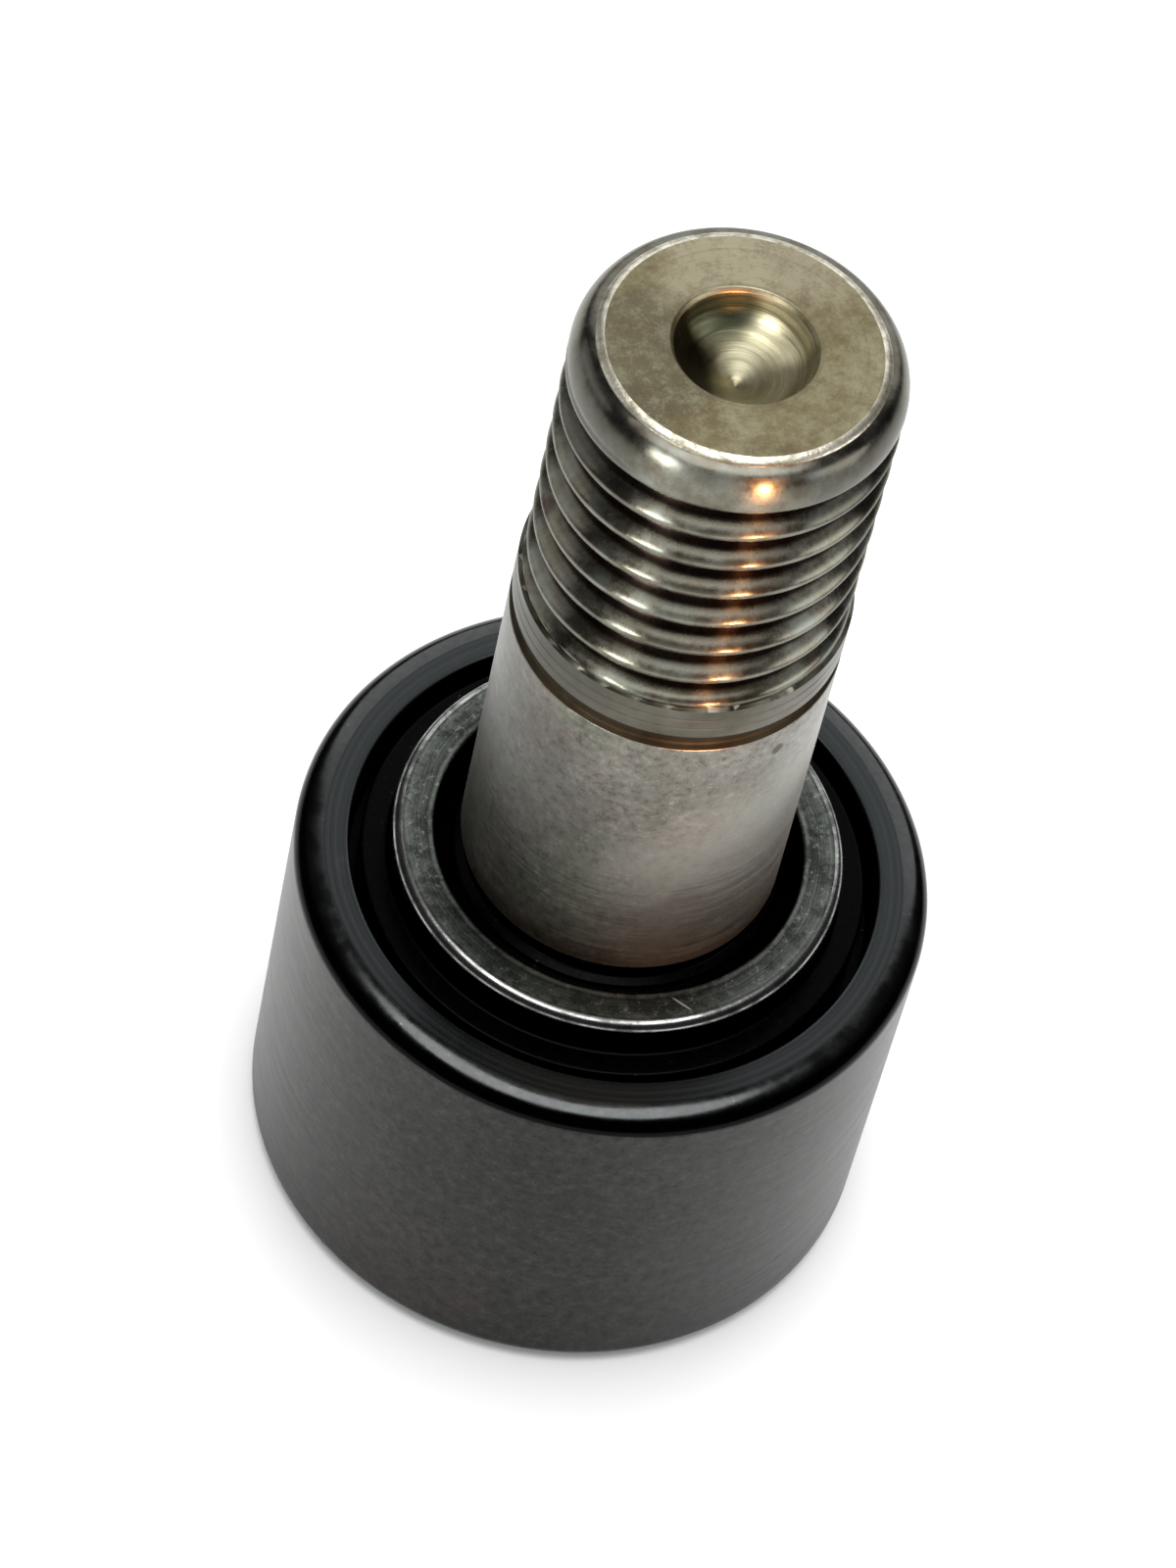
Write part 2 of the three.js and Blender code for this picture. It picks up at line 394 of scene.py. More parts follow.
def ground_steel():
    finish = Finish("ground_steel")
    cloud = finish.noise(0.55, 5.0)
    metal = finish.ramp(cloud, (0.3, (0.15, 0.145, 0.125)), (0.7, (0.225, 0.218, 0.195)))
    warm = finish.noise(0.28, 2.0, centre=(7, 3, 5))
    metal = finish.tint(metal, (0.21, 0.165, 0.145), warm, 0.45, 0.7, 0.5)
    green = finish.noise(0.33, 2.0, centre=(-9, 4, 1))
    metal = finish.tint(metal, (0.14, 0.165, 0.11), green, 0.48, 0.7, 0.5)
    grain = finish.noise(3.6, 5.0, roughness=0.85)
    metal = finish.tint(metal, (0.07, 0.06, 0.048), grain, 0.50, 0.36, 0.7)
    metal = finish.tint(metal, (0.34, 0.335, 0.30), grain, 0.52, 0.66, 0.6)
    # Painted shade: broad dark areas on the left side and low at the front left.
    for bearing, height, reach, share in SHANK_PAINTED_SHADES:
        place = on_stud(bearing, height, SHANK_RADIUS)
        metal = finish.stain(metal, (0.042, 0.044, 0.039), place, reach, share, 0.5, 0.8)
    # Painted light: a broad pale area on the right side.
    painted_light = on_stud(-38, 14.8, SHANK_RADIUS)
    metal = finish.stain(metal, (0.32, 0.32, 0.29), painted_light, 6.0, 0.6, 0.4, 0.8)
    brown = on_stud(-83, 13.9, SHANK_RADIUS)
    metal = finish.stain(metal, (0.09, 0.06, 0.055), brown, 1.5, 0.25, 1.2, 1.2)
    spot = on_stud(-60.5, 20.3, SHANK_RADIUS)
    metal = finish.stain(metal, (0.05, 0.04, 0.03), spot, 0.22)
    finish.colour(metal)
    lines = finish.noise(1.0, 5.0, stretch=(0.25, 0.25, 22), roughness=0.75)
    finish.roughness(finish.fade(lines, 0.3, 0.7, 0.28, 0.42))
    finish.relief(lines, 0.0015)
    finish.relief(grain, 0.002)
    return finish.material


# %% [markdown]
# ### Tarnished steel: thread, groove, land and end face
#
# The thread was rolled, so its crests are round and smooth and its roots keep dark oil and oxide.
# The distance from the axis tells crest from root, which is how the colour below finds them. The
# chamfer at the top comes as near to the axis as a root does, so its height brings the crest back.
# Its highlights are spread up and down, as fine lines round the axis spread them. Painted shade
# darkens the first crest at its left and at its right.
#
# The end face has an olive-brown tarnish over fine turning rings. Painted light makes its far side
# paler and painted shade makes its left side duller. The centre hole is scored by its drill; painted
# shadow darkens its wall on one side, painted light brightens the wall across from it, and a painted
# highlight brightens its bottom. An olive patch on its wall evens out the glint of a warm lamp. The
# rim between face and chamfer is worn bright.

# %% Thread, groove and land finishes
THREAD_CREST = 3.861
THREAD_ROOT = 3.30
# Bearings of the two painted shades on the first crest.
FIRST_CREST_PAINTED_SHADES = (-163, -48)


def rolled_thread():
    finish = Finish("rolled_thread_steel")
    depth = finish.fade(finish.distance((1, 1, 0)), THREAD_ROOT, THREAD_CREST)
    blotch = finish.noise(1.3, 5.0, roughness=0.7)
    crest = finish.ramp(
        blotch,
        (0.34, (0.12, 0.106, 0.08)),
        (0.50, (0.175, 0.168, 0.134)),
        (0.66, (0.225, 0.238, 0.205)),
    )
    root = finish.ramp(blotch, (0.3, (0.014, 0.009, 0.008)), (0.7, (0.04, 0.027, 0.022)))
    height = finish.distance((0, 0, 1))
    chamfer = finish.fade(height, STUD_TOP - 0.7, STUD_TOP - 0.4, 0.0, 0.7)
    crest_share = finish.math("MAXIMUM", finish.fade(depth, 0.30, 0.58), chamfer)
    metal = finish.mix(crest_share, root, crest)
    # Painted shade on the first crest, at its left and at its right.
    for bearing in FIRST_CREST_PAINTED_SHADES:
        place = on_stud(bearing, 30.2, THREAD_CREST)
        metal = finish.stain(metal, (0.04, 0.04, 0.034), place, 2.4, 0.55, 0.3, 0.8)
    nick = on_stud(-177, 25.4, THREAD_CREST)
    metal = finish.stain(metal, (0.05, 0.03, 0.025), nick, 0.5, 0.7)
    finish.colour(metal)
    finish.roughness(finish.fade(blotch, 0.3, 0.7, 0.22, 0.32))
    finish.brushed(0.85)
    finish.relief(finish.noise(3.0, 4.0), 0.004)
    return finish.material


def dark_groove():
    finish = Finish("groove_steel", 0.55)
    blotch = finish.noise(1.2, 4.0)
    finish.colour(finish.ramp(blotch, (0.3, (0.020, 0.014, 0.008)), (0.7, (0.045, 0.038, 0.024))))
    finish.relief(finish.noise(7.0, 3.0), 0.004)
    return finish.material


def turned_land():
    finish = Finish("turned_land_steel")
    blotch = finish.noise(0.9, 5.0)
    metal = finish.ramp(blotch, (0.3, (0.070, 0.067, 0.050)), (0.7, (0.135, 0.130, 0.108)))
    lines = finish.noise(1.0, 4.0, stretch=(0.2, 0.2, 12), roughness=0.8)
    metal = finish.tint(metal, (0.04, 0.03, 0.025), lines, 0.42, 0.30, 0.6)
    # Painted shade: the left side of the land is darkened.
    painted_shade = on_stud(-178, 22.0, SHANK_RADIUS)
    metal = finish.stain(metal, (0.04, 0.04, 0.03), painted_shade, 4.0, 0.5, 0.4, 0.8)
    finish.colour(metal)
    finish.roughness(finish.fade(lines, 0.3, 0.7, 0.28, 0.45))
    finish.relief(lines, 0.003)
    return finish.material


# %% End face, centre hole and rim finishes
CENTRE_DEPTH = 1.2


def olive_face():
    finish = Finish("olive_face_steel")
    cloud = finish.noise(0.6, 5.0, roughness=0.65)
    metal = finish.ramp(
        cloud,
        (0.30, (0.13, 0.105, 0.055)),
        (0.50, (0.20, 0.176, 0.10)),
        (0.70, (0.28, 0.258, 0.165)),
    )
    # Painted light: the far side of the face is paler.
    pale = on_stud(80, STUD_TOP, 3.2)
    metal = finish.stain(metal, (0.38, 0.35, 0.245), pale, 3.0, 0.65, 0.6, 1.0)
    # Painted shade: the left side of the face is duller.
    painted_shade = on_stud(-175, STUD_TOP, 2.8)
    metal = finish.stain(metal, (0.09, 0.083, 0.055), painted_shade, 2.6, 0.6, 0.5, 1.0)
    grain = finish.noise(2.6, 5.0, roughness=0.85, centre=(3, 1, 7))
    metal = finish.tint(metal, (0.095, 0.072, 0.045), grain, 0.56, 0.34, 0.42)
    metal = finish.tint(metal, (0.30, 0.285, 0.21), grain, 0.46, 0.68, 0.45)
    turning = finish.rings(6.0)
    metal = finish.tint(metal, (0.11, 0.092, 0.058), turning, 0.50, 0.36, 0.35)
    finish.colour(metal)
    finish.roughness(finish.fade(turning, 0.3, 0.7, 0.36, 0.50))
    finish.relief(turning, 0.006)
    finish.relief(grain, 0.004)
    return finish.material


def drilled_hole():
    finish = Finish("drilled_hole_steel")
    cloud = finish.noise(1.1, 4.0)
    metal = finish.ramp(cloud, (0.3, (0.20, 0.178, 0.108)), (0.7, (0.30, 0.275, 0.18)))
    # Painted light on the wall across the hole.
    painted_light = on_stud(38, STUD_TOP - 0.3, 1.5)
    metal = finish.stain(metal, (0.66, 0.61, 0.41), painted_light, 1.25, 1.0, 0.3, 1.5)
    # Painted shadow on the hole's wall at one side.
    painted_shadow = on_stud(175, STUD_TOP - 0.5, 1.5)
    metal = finish.stain(metal, (0.010, 0.008, 0.003), painted_shadow, 1.65, 1.0, 0.3, 1.5)
    # Painted highlight at the bottom of the hole.
    painted_highlight = (0.15, 0.42, STUD_TOP - CENTRE_DEPTH + 0.1)
    metal = finish.stain(metal, (0.34, 0.32, 0.215), painted_highlight, 0.6, 1.0, 0.5)
    green = on_stud(98, STUD_TOP - 0.35, 1.55)
    metal = finish.stain(metal, (0.075, 0.085, 0.052), green, 1.1, 0.85, 0.3, 1.5)
    finish.colour(metal)
    scores = finish.noise(1.0, 3.0, stretch=(0.3, 0.3, 9), roughness=0.6)
    finish.roughness(finish.fade(scores, 0.3, 0.7, 0.36, 0.52))
    finish.relief(scores, 0.02)
    return finish.material


def worn_rim():
    finish = Finish("worn_rim_steel")
    nicks = finish.noise(2.0, 4.0, roughness=0.75)
    finish.colour(finish.ramp(nicks, (0.36, (0.26, 0.245, 0.18)), (0.60, (0.70, 0.67, 0.56))))
    finish.roughness(finish.fade(nicks, 0.3, 0.7, 0.42, 0.28))
    finish.relief(nicks, 0.02)
    return finish.material


# %% [markdown]
# ### Black oxide: the roller, the end plate and the head
#
# Black oxide is a thin conversion coat. It keeps the surface it is given: satin on the ground tread,
# fine rings on the turned faces, and glossy on the tumbled corners. Clamping and handling rub it
# through first at edges, and on the plate's face, where the silver steel shows with its scratches.
# The outer part of each corner is painted darker, as painted shade, and the oxide in the recesses
# is painted nearly black, painted shade over the oxide's own dark colour.

# %% Black oxide finishes
TREAD_STAIN = (-5.2, -6.1, 2.2)
PAINTED_SHADE_FULL = 0.20
PAINTED_SHADE_FROM = 0.36


def oxide_tread():
    finish = Finish("black_oxide_tread")
    cloud = finish.noise(0.16, 4.0)
    metal = finish.ramp(cloud, (0.3, (0.021, 0.0205, 0.0195)), (0.7, (0.029, 0.029, 0.0275)))
    metal = finish.stain(metal, (0.042, 0.025, 0.023), TREAD_STAIN, 2.6, 0.35, 2.2, 0.9)
    grain = finish.noise(3.2, 5.0, roughness=0.85)
    metal = finish.tint(metal, (0.010, 0.010, 0.009), grain, 0.5, 0.36, 0.8)
    metal = finish.tint(metal, (0.050, 0.048, 0.046), grain, 0.5, 0.66, 0.7)
    finish.colour(metal)
    lines = finish.noise(1.0, 4.0, stretch=(0.15, 0.15, 16), roughness=0.8)
    finish.roughness(finish.fade(lines, 0.3, 0.7, 0.30, 0.40))
    finish.relief(lines, 0.0012)
    finish.relief(grain, 0.0015)
    return finish.material


def oxide_corner():
    finish = Finish("black_oxide_corner")
    specks = finish.noise(6.0, 2.0)
    metal = finish.ramp(specks, (0.3, (0.048, 0.050, 0.050)), (0.72, (0.062, 0.064, 0.065)))
    metal = finish.tint(metal, (0.20, 0.20, 0.19), specks, 0.72, 0.78, 0.5)
    # Painted shade: the outer part of the corner is darkened towards the tread.
    outward = finish.distance((1, 1, 0))
    metal = finish.tint(
        metal, (0.006, 0.006, 0.006), outward, RING_RADIUS - PAINTED_SHADE_FROM, RING_RADIUS - PAINTED_SHADE_FULL,
    )
    finish.colour(metal)
    finish.roughness(finish.fade(finish.noise(1.5, 3.0), 0.3, 0.7, 0.14, 0.22))
    finish.relief(specks, 0.001)
    return finish.material


def oxide_face():
    finish = Finish("black_oxide_face")
    turning = finish.rings(10.0)
    metal = finish.ramp(turning, (0.3, (0.028, 0.031, 0.032)), (0.7, (0.052, 0.057, 0.058)))
    metal = finish.tint(metal, (0.07, 0.073, 0.075), finish.noise(1.1, 3.0), 0.60, 0.75, 0.35)
    finish.colour(metal)
    finish.roughness(finish.fade(turning, 0.3, 0.7, 0.20, 0.30))
    finish.relief(turning, 0.002)
    return finish.material


def oxide_recess_painted_shade():
    finish = Finish("black_oxide_recess_painted_shade")
    # Nearly black: black oxide painted much darker than on the tread, as painted shade in recesses.
    dust = finish.noise(5.0, 3.0, roughness=0.7)
    finish.colour(finish.tint((0.003, 0.003, 0.003), (0.10, 0.10, 0.09), dust, 0.69, 0.76, 0.7))
    finish.roughness(finish.fade(dust, 0.3, 0.7, 0.22, 0.34))
    finish.relief(dust, 0.002)
    return finish.material


def scuffed_plate():
    finish = Finish("scuffed_plate_steel")
    turning = finish.rings(5.0, 4.0, 0.1)
    metal = finish.ramp(turning, (0.38, (0.018, 0.021, 0.019)), (0.60, (0.125, 0.137, 0.124)))
    patches = finish.noise(1.3, 4.0, roughness=0.7)
    metal = finish.tint(metal, (0.014, 0.016, 0.015), patches, 0.54, 0.40, 0.6)
    flecks = finish.noise(4.5, 5.0, roughness=0.9)
    metal = finish.tint(metal, (0.25, 0.255, 0.24), flecks, 0.55, 0.66, 0.8)
    metal = finish.tint(metal, (0.006, 0.006, 0.006), flecks, 0.44, 0.34, 0.7)
    scratch = finish.scratch(on_stud(-84, PLATE_TOP, 4.75), on_stud(-79, PLATE_TOP, 5.30), 0.07)
    metal = finish.mix(scratch, metal, (0.5, 0.5, 0.47))
    finish.colour(metal)
    finish.roughness(finish.fade(turning, 0.3, 0.7, 0.24, 0.42))
    finish.relief(turning, 0.006)
    finish.relief(flecks, 0.004)
    return finish.material


def polished_edge():
    finish = Finish("polished_plate_edge")
    nicks = finish.noise(1.4, 4.0, roughness=0.7)
    finish.colour(finish.ramp(nicks, (0.38, (0.10, 0.105, 0.10)), (0.6, (0.36, 0.365, 0.35))))
    finish.roughness(finish.fade(nicks, 0.3, 0.7, 0.30, 0.18))
    finish.relief(nicks, 0.006)
    return finish.material


def race_steel():
    finish = Finish("polished_race_steel")
    film = finish.noise(0.6, 3.0)
    finish.colour(finish.ramp(film, (0.3, (0.50, 0.49, 0.46)), (0.7, (0.66, 0.66, 0.65))))
    finish.roughness(finish.fade(film, 0.3, 0.7, 0.12, 0.24))
    finish.relief(finish.noise(1.0, 3.0, stretch=(0.2, 0.2, 14)), 0.0006)
    return finish.material


shank_steel = ground_steel()
thread_steel = rolled_thread()
groove_steel = dark_groove()
land_steel = turned_land()
face_steel = olive_face()
hole_steel = drilled_hole()
rim_steel = worn_rim()
tread_black = oxide_tread()
corner_black = oxide_corner()
face_black = oxide_face()
recess_black_painted_shade = oxide_recess_painted_shade()
plate_steel = scuffed_plate()
edge_steel = polished_edge()
raceway_steel = race_steel()
print("finishes:", len([m for m in bpy.data.materials if m.use_nodes]))

# %% [markdown]
# ## The outer ring
#
# The ring is the roller itself: thick, so that it doesn't flex into its race under load. Its outer
# corners are broad ovals, wider across the face than down the tread, so that they can't dig into the
# cam. At each end a shallow recess lets the stud's flange or the end plate sink almost level, with
# a gap of a few tenths of a millimetre that keeps grease in and dirt out.

# %% Outer ring
RING_STEPS = 192
CORNER_ACROSS = 0.7
CORNER_ALONG = 0.5
RECESS_RADIUS = 6.6
SIDE_PLAY = 0.15
HEAD_TOP = NEEDLE_BOTTOM - 0.1
RACE_LOW = HEAD_TOP + SIDE_PLAY
RACE_HIGH = PLATE_BOTTOM - SIDE_PLAY


def ring_finish(radius, height):
    if radius < OUTER_RACE + 0.05:
        return "race"
    if radius < RECESS_RADIUS + 0.02 or RACE_LOW - 0.01 < height < RACE_LOW + 0.01:
        return "recess"
    if radius < RECESS_RADIUS + 0.11:
        return "edge"
    if radius > RING_RADIUS - 0.005:
        return "tread"
    if radius > RING_RADIUS - CORNER_ACROSS:
        return "corner"
    return "face"


ring_mesh = bmesh.new()
corner_centre = RING_RADIUS - CORNER_ACROSS
draw_profile(ring_mesh, [
    (RECESS_RADIUS, RING_BOTTOM, 0.08),
    *arc(corner_centre, RING_BOTTOM + CORNER_ALONG, CORNER_ACROSS, CORNER_ALONG, -90, 0, 12),
    *arc(corner_centre, RING_TOP - CORNER_ALONG, CORNER_ACROSS, CORNER_ALONG, 0, 90, 12),
    (RECESS_RADIUS, RING_TOP, 0.08),
    (RECESS_RADIUS, RACE_HIGH, 0.1),
    (OUTER_RACE, RACE_HIGH, 0.1),
    (OUTER_RACE, RACE_LOW, 0.1),
    (RECESS_RADIUS, RACE_LOW, 0.1),
], closed=True)
hold_flats(ring_mesh)
spin(ring_mesh, RING_STEPS)
close_up(ring_mesh)
ring_finishes = {
    "tread": tread_black, "corner": corner_black, "face": face_black,
    "recess": recess_black_painted_shade, "edge": face_black, "race": raceway_steel,
}
paint(ring_mesh, ring_finishes, ring_finish)
print("outer ring faces:", len(ring_mesh.faces))
outer_ring = finish_piece(
    ring_mesh, "roller_ring", "outer_ring", "outer_ring", ring_finishes,
)

# %% [markdown]
# ## The end plate
#
# The end plate is a thick washer pressed on the stud. Its flange closes the bearing. A boss stands up
# out of the flange by about half a millimetre more than the roller does, so the machine's frame
# clamps the boss and never touches the turning ring. A deep countersink round the stud clears the
# edge of the reamed hole.

# %% End plate
PLATE_STEPS = 160
PLATE_BORE = 4.06
FLANGE_TOP = RING_TOP - 0.25
BOSS_RADIUS = 5.62
BOSS_ROUNDING = 0.24
COUNTERSINK = 0.57


def plate_finish(radius, height):
    if height < FLANGE_TOP + 0.02 or radius > BOSS_RADIUS - 0.002:
        return "recess"
    if radius > BOSS_RADIUS - BOSS_ROUNDING:
        return "edge" if height > PLATE_TOP - 0.8 * BOSS_ROUNDING else "recess"
    if height > PLATE_TOP - 0.03:
        return "face"
    return "recess"


plate_mesh = bmesh.new()
draw_profile(plate_mesh, [
    (PLATE_BORE, PLATE_BOTTOM, 0.05),
    (FLANGE_RADIUS, PLATE_BOTTOM, 0.08),
    (FLANGE_RADIUS, FLANGE_TOP, 0.08),
    (BOSS_RADIUS, FLANGE_TOP, 0.1),
    *arc(BOSS_RADIUS - BOSS_ROUNDING, PLATE_TOP - BOSS_ROUNDING, BOSS_ROUNDING, BOSS_ROUNDING, 0, 90),
    (PLATE_BORE + COUNTERSINK, PLATE_TOP, 0.04),
    (PLATE_BORE + 0.02, PLATE_TOP - COUNTERSINK, 0.06),
], closed=True)
hold_flats(plate_mesh)
spin(plate_mesh, PLATE_STEPS)
close_up(plate_mesh)
plate_finishes = {"recess": recess_black_painted_shade, "edge": edge_steel, "face": plate_steel}
paint(plate_mesh, plate_finishes, plate_finish)
print("end plate faces:", len(plate_mesh.faces))
end_plate = finish_piece(
    plate_mesh, "clamping_plate", "stud", "end_plate", plate_finishes,
)

# %% [markdown]
# ## The stud
#
# The stud is one forging. From below: the head, which is the other flange of the bearing, with an
# oil hole; the inner raceway; the seat for the end plate; the ground shank with its relief groove;
# a short land; the thread; and the end face with a drilled centre, by which the grinder held it.
#
# The plain lengths are one spun profile below the thread and one above it. They end in the same
# ring of points as the thread's ends, so that all three weld into one closed skin.

# %% Stud, the plain lengths
STUD_STEPS = 160
SEAT_RADIUS = 4.05
OIL_HOLE_RADIUS = 1.5875
OIL_HOLE_DEPTH = 6.2
OIL_HOLE_CONE = 0.9
OIL_HOLE_CHAMFER = 0.2
UNDERCUT_RADIUS = 3.8
GROOVE_LOW = 21.06
GROOVE_HIGH = 21.56
GROOVE_RADIUS = 3.82
LAND_RADIUS = SHANK_RADIUS - 0.005
LAND_TOP_RADIUS = SHANK_RADIUS - 0.01
LAND_TOP = 22.55
LAND_LINES = ((LAND_RADIUS, 21.89), (LAND_TOP_RADIUS, 22.21))
LINE_DEPTH = 0.01
LINE_HALF = 0.03
RIM_RADIUS = 3.15
RIM_DROP = 0.12
RIM_SPREAD = 0.20
CENTRE_RADIUS = 1.6
PILOT_RADIUS = 0.55


def land_line(radius, middle):
    """Corners of a fine turned line round the land."""
    return [
        (radius, middle - LINE_HALF), (radius - LINE_DEPTH, middle), (radius, middle + LINE_HALF),
    ]


below_thread = [
    (0, OIL_HOLE_DEPTH + OIL_HOLE_CONE),
    (OIL_HOLE_RADIUS, OIL_HOLE_DEPTH, 0.08),
    (OIL_HOLE_RADIUS, OIL_HOLE_CHAMFER, 0.05),
    (OIL_HOLE_RADIUS + OIL_HOLE_CHAMFER, 0, 0.05),
    (FLANGE_RADIUS, 0, 0.3),
    (FLANGE_RADIUS, HEAD_TOP, 0.1),
    (INNER_RACE, HEAD_TOP, 0.05),
    (INNER_RACE, PLATE_BOTTOM, 0.03),
    (SEAT_RADIUS, PLATE_BOTTOM, 0.03),
    (SEAT_RADIUS, PLATE_TOP - 0.55, 0.03),
    (UNDERCUT_RADIUS, PLATE_TOP - 0.45, 0.05),
    (UNDERCUT_RADIUS, PLATE_TOP + 0.02, 0.05),
    (SHANK_RADIUS, PLATE_TOP + 0.16, 0.04),
    (SHANK_RADIUS, GROOVE_LOW, 0.03),
    (GROOVE_RADIUS, GROOVE_LOW + 0.1, 0.06),
    (GROOVE_RADIUS, GROOVE_HIGH - 0.1, 0.06),
    (LAND_RADIUS, GROOVE_HIGH, 0.03),
    *(corner for line in LAND_LINES for corner in land_line(*line)),
    (LAND_TOP_RADIUS, LAND_TOP),
]
above_thread = [
    (RIM_RADIUS + RIM_SPREAD, STUD_TOP - RIM_DROP),
    (RIM_RADIUS + RIM_SPREAD - 0.005, STUD_TOP - 0.09),
    (RIM_RADIUS + RIM_SPREAD - 0.04, STUD_TOP - 0.055),
    (RIM_RADIUS, STUD_TOP),
    (CENTRE_RADIUS + 0.09, STUD_TOP, 0.03),
    (CENTRE_RADIUS, STUD_TOP - 0.10, 0.04),
    (CENTRE_RADIUS - 0.15, STUD_TOP - 0.7, 0.3),
    (PILOT_RADIUS, STUD_TOP - CENTRE_DEPTH, 0.3),
    (0, STUD_TOP - CENTRE_DEPTH - 0.25),
]

stud_mesh = bmesh.new()
draw_profile(stud_mesh, below_thread)
draw_profile(stud_mesh, above_thread)
hold_flats(stud_mesh)
spin(stud_mesh, STUD_STEPS)
print("plain lengths:", len(stud_mesh.faces), "faces")

# %% [markdown]
# ## The thread
#
# A rolled thread can be made by an array, by a screw modifier or by spinning one tooth along a helix.
# The last gives clean rows of faces that follow the helix, so it is used here, but with the whole
# stack of teeth spun for just one turn. While it turns it climbs one pitch, so each tooth of the last
# column lands on the next tooth of the first, and the seam welds shut.
#
# That leaves a thread with ragged ends. Each point is then settled: below the land or above the rim
# it is drawn in to the ring where the plain length ends; close to the land the groove fades in from
# nothing, as it does where the rolling dies leave the blank; near the top it fades out again, which
# leaves the wide first crest; and the chamfer limits the radius at the very end.

# %% Thread
PITCH = 25.4 / 24
THREAD_DEPTH = 0.56
FIRST_ROOT = 23.0
FIRST_ROOT_BEARING = -111.3
CREST_ROUNDING = 0.2
ROOT_ROUNDING = 0.15
THREAD_STEP = 0.08
CREST_HALF = 0.13 * PITCH
ROOT_HALF = 0.10 * PITCH
SHOULDER_TOP = 22.72
FULL_FROM = 23.0
FADE_FROM = 29.55
FADE_TO = 30.05
CHAMFER_HEIGHT = 0.80


def tooth_row(middle):
    """Corners of one groove: crest edge, two root corners and the next crest edge."""
    crest = THREAD_CREST
    root = THREAD_CREST - THREAD_DEPTH
    return [
        (crest, middle - PITCH / 2 + CREST_HALF, CREST_ROUNDING),
        (root, middle - ROOT_HALF, ROOT_ROUNDING),
        (root, middle + ROOT_HALF, ROOT_ROUNDING),
        (crest, middle + PITCH / 2 - CREST_HALF, CREST_ROUNDING),
    ]


def smooth(value, low, high):
    """0 below low, 1 above high, and a smooth rise between them."""
    share = min(1, max(0, (value - low) / (high - low)))
    return share * share * (3 - 2 * share)


def settle(point, land_ring, rim_ring):
    """A thread point's place once the ends of the thread are finished."""
    radius = point.to_2d().length
    depth = THREAD_CREST - radius
    height = point.z
    if height <= land_ring[1]:
        radius, height = land_ring
    elif height >= rim_ring[1]:
        radius, height = rim_ring
    else:
        cut = smooth(height, SHOULDER_TOP - 0.1, FULL_FROM) * (1 - smooth(height, FADE_FROM, FADE_TO))
        shoulder = smooth(height, land_ring[1], SHOULDER_TOP)
        blank = land_ring[0] + (THREAD_CREST - land_ring[0]) * shoulder
        down = rim_ring[1] - height
        below = 1 - min(1, down / CHAMFER_HEIGHT)
        chamfer = rim_ring[0] + (THREAD_CREST - rim_ring[0]) * math.sqrt(1 - below * below)
        radius = min(blank - depth * cut, chamfer)
    flat = point.to_2d().normalized() * radius
    return Vector((flat.x, flat.y, height))


land_ring = (LAND_TOP_RADIUS, LAND_TOP)
rim_ring = (RIM_RADIUS + RIM_SPREAD, STUD_TOP - RIM_DROP)
seam_root = FIRST_ROOT - PITCH * FIRST_ROOT_BEARING / 360
rows = range(-3, math.ceil((STUD_TOP - LAND_TOP) / PITCH) + 2)

thread_mesh = bmesh.new()
draw_profile(
    thread_mesh,
    [corner for row in rows for corner in tooth_row(seam_root + row * PITCH)],
    segments=5,
)
long_edges = [edge for edge in thread_mesh.edges if edge.calc_length() > THREAD_STEP]
bmesh.ops.subdivide_edges(thread_mesh, edges=long_edges, cuts=2)
spin(thread_mesh, STUD_STEPS, PITCH)
for vert in thread_mesh.verts:
    vert.co = settle(vert.co, land_ring, rim_ring)
thread_part = bpy.data.meshes.new("thread_part")
thread_mesh.to_mesh(thread_part)
thread_mesh.free()
stud_mesh.from_mesh(thread_part)
bpy.data.meshes.remove(thread_part)
close_up(stud_mesh)
print("stud before cutting:", len(stud_mesh.faces), "faces")

# %% [markdown]
# ## The screwdriver slot and the oil hole
#
# The head has a slot, so that the stud can be held while its nut is tightened. A small hole runs
# from the middle of the raceway to the hole in the head, and carries grease to the needles. Neither
# is turned, so both are cut: a bar and a pin are subtracted from the stud with a Boolean.

# %% Slot and oil hole
SLOT_WIDTH = 1.6
SLOT_DEPTH = 1.2
CROSS_HOLE_RADIUS = 0.75
CROSS_HOLE_STEPS = 32


def temporary_object(bm, name):
    mesh = bpy.data.meshes.new(name)
    bm.to_mesh(mesh)
    bm.free()
    holder = bpy.data.objects.new(name, mesh)
    bpy.context.collection.objects.link(holder)
    return holder


def cut(bm, cutters):
    """Subtracts each cutter from a mesh and gives the new mesh."""
    work = temporary_object(bm, "work")
    tools = [temporary_object(cutter, "cutter") for cutter in cutters]
    for tool in tools:
        boolean = work.modifiers.new("cut", "BOOLEAN")
        boolean.operation = "DIFFERENCE"
        boolean.solver = "EXACT"
        boolean.object = tool
    shape = work.evaluated_get(bpy.context.evaluated_depsgraph_get())
    result = bmesh.new()
    result.from_mesh(shape.to_mesh())
    shape.to_mesh_clear()
    for holder in [work, *tools]:
        mesh = holder.data
        bpy.data.objects.remove(holder)
        bpy.data.meshes.remove(mesh)
    return result


